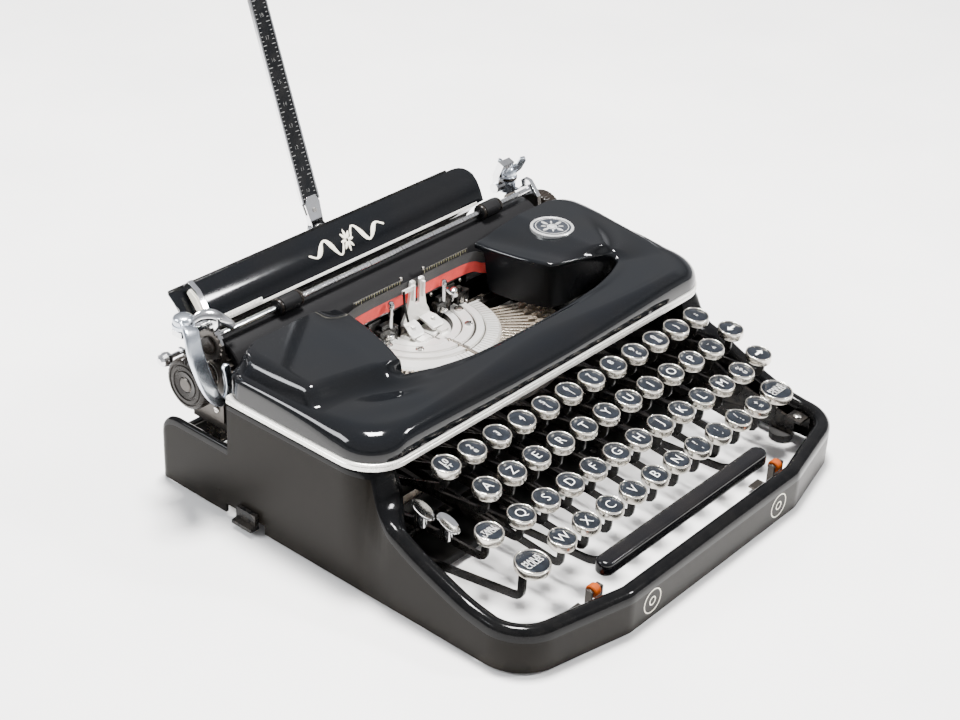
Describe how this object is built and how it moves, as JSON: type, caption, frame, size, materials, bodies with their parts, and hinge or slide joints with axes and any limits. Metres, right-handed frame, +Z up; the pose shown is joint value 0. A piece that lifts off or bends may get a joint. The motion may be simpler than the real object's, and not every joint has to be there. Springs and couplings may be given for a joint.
{
  "type": "typewriter",
  "caption": "Portable typewriter with round keys, a domed ribbon cover, a sliding carriage with platen, knobs and return lever, and an upright folding paper support.",
  "frame": {"origin": "centre of the whole machine's footprint, on the table", "axes": "+X to the typist's right, +Y away from the typist, +Z up"},
  "size_m": [0.2998, 0.3118, 0.2475],
  "materials": {
    "satin_black": "satin black enamel",
    "enamel_black": "gloss black enamel",
    "trim_cream": "bright cream metal strip",
    "chrome": "polished",
    "nickel": "nickel plated",
    "steel": "oiled steel",
    "lever_black": "black japanned",
    "platen_rubber": "ground hard rubber",
    "foot_rubber": "matt rubber",
    "bakelite": "worn black bakelite",
    "gloss_plastic": "gloss black",
    "ribbon_ink": "inked cotton, red below and black above"
  },
  "bodies": {
    "frame": {"casing": "satin_black", "trim_strip": "trim_cream", "foot_front_left": "foot_rubber", "foot_front_right": "foot_rubber", "foot_rear_left": "foot_rubber", "foot_rear_right": "foot_rubber", "chassis_left": "lever_black", "chassis_right": "lever_black", "case_latch_left": "steel", "case_latch_right": "steel", "carriage_rail": "steel", "fulcrum_rod": "steel", "space_bar_rod": "steel", "lever_stop_bar": "lever_black", "type_segment": "chrome", "typebar_fan": "steel", "line_scale": "satin_black", "ribbon_band": "ribbon_ink"},
    "cover": {"ribbon_cover": "enamel_black"},
    "spool_left": {"ribbon_spool_left": "steel"},
    "spool_right": {"ribbon_spool_right": "steel"},
    "drum": {"mainspring_drum": "steel"},
    "typebar": {"center_typebar": "steel"},
    "vibrator": {"ribbon_vibrator": "chrome"},
    "key_bank_01": {"key_bank_01": "nickel"},
    "key_bank_02": {"key_bank_02": "nickel"},
    "key_bank_03": {"key_bank_03": "nickel"},
    "key_bank_04": {"key_bank_04": "nickel"},
    "key_bank_05": {"key_bank_05": "nickel"},
    "key_bank_06": {"key_bank_06": "nickel"},
    "key_bank_07": {"key_bank_07": "nickel"},
    "key_bank_08": {"key_bank_08": "nickel"},
    "key_bank_09": {"key_bank_09": "nickel"},
    "key_bank_10": {"key_bank_10": "nickel"},
    "key_bank_11": {"key_bank_11": "nickel"},
    "key_bank_12": {"key_bank_12": "nickel"},
    "tab_key": {"tab_key": "nickel"},
    "backspace_key": {"backspace_key": "nickel"},
    "ribbon_key": {"ribbon_key": "nickel"},
    "margin_paddle": {"margin_paddle": "chrome"},
    "clear_paddle": {"clear_paddle": "chrome"},
    "space_bar": {"space_bar": "gloss_plastic"},
    "shift_keys": {"shift_frame": "nickel"},
    "carriage": {"carriage_frame": "steel"},
    "carriage_top": {"end_plate_left": "chrome", "end_plate_right": "chrome", "paper_table": "enamel_black"},
    "platen": {"platen": "platen_rubber", "knob_left": "bakelite", "knob_right": "bakelite"},
    "feed_roller": {"feed_roller": "platen_rubber"},
    "bail": {"paper_bail": "chrome"},
    "bail_roller_left": {"bail_roller_left": "platen_rubber"},
    "bail_roller_right": {"bail_roller_right": "platen_rubber"},
    "return_lever": {"return_lever": "chrome"},
    "paper_arm": {"paper_arm": "enamel_black"},
    "paper_release": {"paper_release": "chrome"},
    "carriage_release": {"carriage_release": "chrome"},
    "margin_stop_left": {"margin_stop_left": "nickel"},
    "margin_stop_right": {"margin_stop_right": "nickel"}
  },
  "joints": [
    {"name": "cover_lift", "type": "slide", "parent": "frame", "child": "cover", "axis": [0, 0, 1], "range_m": [0, 0.03]},
    {"name": "spool_right_turn", "type": "hinge", "parent": "frame", "child": "spool_right", "pos_m": [0.10444, 0.03161, 0.063], "axis": [0, 0, 1], "continuous": true},
    {"name": "spool_left_turn", "type": "hinge", "parent": "frame", "child": "spool_left", "pos_m": [-0.09556, 0.03161, 0.063], "axis": [0, 0, 1], "continuous": true},
    {"name": "carriage_slide", "type": "slide", "parent": "frame", "child": "carriage", "axis": [1, 0, 0], "range_m": [-0.088, 0.1]},
    {"name": "drum_turn", "type": "hinge", "parent": "frame", "child": "drum", "pos_m": [-0.08056, 0.08111, 0.01], "axis": [0, 0, 1], "range_deg": [-260, 290]},
    {"name": "typebar_swing", "type": "hinge", "parent": "frame", "child": "typebar", "pos_m": [0.00444, 0.02711, 0.058], "axis": [1, 0, 0], "range_deg": [-123, 0]},
    {"name": "vibrator_lift", "type": "slide", "parent": "frame", "child": "vibrator", "axis": [0, 0, 1], "range_m": [0, 0.006]},
    {"name": "key_bank_01_press", "type": "hinge", "parent": "frame", "child": "key_bank_01", "pos_m": [-0.09856, 0.00111, 0.034], "axis": [1, 0, 0], "range_deg": [0, 5], "stiffness_Nm_per_rad": 0.6, "springref_deg": -9.17},
    {"name": "key_bank_02_press", "type": "hinge", "parent": "frame", "child": "key_bank_02", "pos_m": [-0.07956, 0.00111, 0.034], "axis": [1, 0, 0], "range_deg": [0, 5], "stiffness_Nm_per_rad": 0.6, "springref_deg": -9.17},
    {"name": "key_bank_03_press", "type": "hinge", "parent": "frame", "child": "key_bank_03", "pos_m": [-0.06056, 0.00111, 0.034], "axis": [1, 0, 0], "range_deg": [0, 5], "stiffness_Nm_per_rad": 0.6, "springref_deg": -9.17},
    {"name": "key_bank_04_press", "type": "hinge", "parent": "frame", "child": "key_bank_04", "pos_m": [-0.04156, 0.00111, 0.034], "axis": [1, 0, 0], "range_deg": [0, 5], "stiffness_Nm_per_rad": 0.6, "springref_deg": -9.17},
    {"name": "key_bank_05_press", "type": "hinge", "parent": "frame", "child": "key_bank_05", "pos_m": [-0.02256, 0.00111, 0.034], "axis": [1, 0, 0], "range_deg": [0, 5], "stiffness_Nm_per_rad": 0.6, "springref_deg": -9.17},
    {"name": "key_bank_06_press", "type": "hinge", "parent": "frame", "child": "key_bank_06", "pos_m": [-0.00356, 0.00111, 0.034], "axis": [1, 0, 0], "range_deg": [0, 5], "stiffness_Nm_per_rad": 0.6, "springref_deg": -9.17},
    {"name": "key_bank_07_press", "type": "hinge", "parent": "frame", "child": "key_bank_07", "pos_m": [0.01544, 0.00111, 0.034], "axis": [1, 0, 0], "range_deg": [0, 5], "stiffness_Nm_per_rad": 0.6, "springref_deg": -9.17},
    {"name": "key_bank_08_press", "type": "hinge", "parent": "frame", "child": "key_bank_08", "pos_m": [0.03444, 0.00111, 0.034], "axis": [1, 0, 0], "range_deg": [0, 5], "stiffness_Nm_per_rad": 0.6, "springref_deg": -9.17},
    {"name": "key_bank_09_press", "type": "hinge", "parent": "frame", "child": "key_bank_09", "pos_m": [0.05344, 0.00111, 0.034], "axis": [1, 0, 0], "range_deg": [0, 5], "stiffness_Nm_per_rad": 0.6, "springref_deg": -9.17},
    {"name": "key_bank_10_press", "type": "hinge", "parent": "frame", "child": "key_bank_10", "pos_m": [0.07244, 0.00111, 0.034], "axis": [1, 0, 0], "range_deg": [0, 5], "stiffness_Nm_per_rad": 0.6, "springref_deg": -9.17},
    {"name": "key_bank_11_press", "type": "hinge", "parent": "frame", "child": "key_bank_11", "pos_m": [0.09144, 0.00111, 0.034], "axis": [1, 0, 0], "range_deg": [0, 5], "stiffness_Nm_per_rad": 0.6, "springref_deg": -9.17},
    {"name": "key_bank_12_press", "type": "hinge", "parent": "frame", "child": "key_bank_12", "pos_m": [0.11044, 0.00111, 0.034], "axis": [1, 0, 0], "range_deg": [0, 5], "stiffness_Nm_per_rad": 0.6, "springref_deg": -9.17},
    {"name": "tab_key_press", "type": "hinge", "parent": "frame", "child": "tab_key", "pos_m": [-0.10816, 0.00111, 0.034], "axis": [1, 0, 0], "range_deg": [0, 5], "stiffness_Nm_per_rad": 0.4, "springref_deg": -9.17},
    {"name": "backspace_key_press", "type": "hinge", "parent": "frame", "child": "backspace_key", "pos_m": [0.12284, 0.00111, 0.034], "axis": [1, 0, 0], "range_deg": [0, 5], "stiffness_Nm_per_rad": 0.4, "springref_deg": -9.17},
    {"name": "ribbon_key_press", "type": "hinge", "parent": "frame", "child": "ribbon_key", "pos_m": [0.12844, 0.00111, 0.034], "axis": [1, 0, 0], "range_deg": [0, 5], "stiffness_Nm_per_rad": 0.4, "springref_deg": -9.17},
    {"name": "margin_paddle_press", "type": "hinge", "parent": "frame", "child": "margin_paddle", "pos_m": [-0.11696, 0.00111, 0.034], "axis": [1, 0, 0], "range_deg": [0, 5], "stiffness_Nm_per_rad": 0.4, "springref_deg": -9.17},
    {"name": "clear_paddle_press", "type": "hinge", "parent": "frame", "child": "clear_paddle", "pos_m": [-0.11256, 0.00111, 0.034], "axis": [1, 0, 0], "range_deg": [0, 5], "stiffness_Nm_per_rad": 0.4, "springref_deg": -9.17},
    {"name": "space_bar_press", "type": "hinge", "parent": "frame", "child": "space_bar", "pos_m": [0.00144, -0.01489, 0.014], "axis": [1, 0, 0], "range_deg": [0, 3], "stiffness_Nm_per_rad": 0.9, "springref_deg": -10.31},
    {"name": "platen_shift", "type": "slide", "parent": "carriage", "child": "carriage_top", "axis": [0, 0, 1], "range_m": [0, 0.004]},
    {"name": "shift_key_press", "type": "hinge", "parent": "frame", "child": "shift_keys", "pos_m": [0.00444, -0.03089, 0.0075], "axis": [1, 0, 0], "range_deg": [0, 4.6]},
    {"name": "platen_turn", "type": "hinge", "parent": "carriage_top", "child": "platen", "pos_m": [0.00084, 0.07461, 0.0738], "axis": [1, 0, 0], "continuous": true},
    {"name": "feed_roller_turn", "type": "hinge", "parent": "carriage_top", "child": "feed_roller", "pos_m": [0.00084, 0.07461, 0.052], "axis": [1, 0, 0], "continuous": true},
    {"name": "bail_lift", "type": "hinge", "parent": "carriage_top", "child": "bail", "pos_m": [0.00084, 0.07941, 0.091], "axis": [1, 0, 0], "range_deg": [-26, 0]},
    {"name": "bail_roller_left_turn", "type": "hinge", "parent": "bail", "child": "bail_roller_left", "pos_m": [-0.07406, 0.07211, 0.0954], "axis": [1, 0, 0], "continuous": true},
    {"name": "bail_roller_right_turn", "type": "hinge", "parent": "bail", "child": "bail_roller_right", "pos_m": [0.08694, 0.07211, 0.0954], "axis": [1, 0, 0], "continuous": true},
    {"name": "return_lever_swing", "type": "hinge", "parent": "carriage_top", "child": "return_lever", "pos_m": [-0.14426, 0.07311, 0.108], "axis": [0, 0, 1], "range_deg": [0, 6], "stiffness_Nm_per_rad": 0.3, "springref_deg": -2.86},
    {"name": "paper_arm_fold", "type": "hinge", "parent": "carriage_top", "child": "paper_arm", "pos_m": [-0.02206, 0.10211, 0.109], "axis": [0, 0.9336, -0.3584], "range_deg": [-83, 83]},
    {"name": "paper_release_pull", "type": "hinge", "parent": "carriage_top", "child": "paper_release", "pos_m": [-0.12556, 0.09271, 0.066], "axis": [1, 0, 0], "range_deg": [-16, 0]},
    {"name": "carriage_release_press", "type": "hinge", "parent": "carriage_top", "child": "carriage_release", "pos_m": [0.11544, 0.08661, 0.096], "axis": [1, 0, 0], "range_deg": [-14, 0], "stiffness_Nm_per_rad": 0.1, "springref_deg": 5.73},
    {"name": "margin_stop_left_slide", "type": "slide", "parent": "carriage", "child": "margin_stop_left", "axis": [1, 0, 0], "range_m": [-0.03, 0.07]},
    {"name": "margin_stop_right_slide", "type": "slide", "parent": "carriage", "child": "margin_stop_right", "axis": [1, 0, 0], "range_m": [-0.07, 0.03]}
  ],
  "couplings": [
    {"joint": "spool_left_turn", "follows": "spool_right_turn", "ratio": 1},
    {"joint": "drum_turn", "follows": "carriage_slide", "rad_per_m": 50},
    {"joint": "typebar_swing", "follows": "key_bank_06_press", "ratio": -24.5},
    {"joint": "vibrator_lift", "follows": "key_bank_06_press", "m_per_rad": 0.068},
    {"joint": "shift_key_press", "follows": "platen_shift", "rad_per_m": 20},
    {"joint": "feed_roller_turn", "follows": "platen_turn", "ratio": -3.7778}
  ]
}
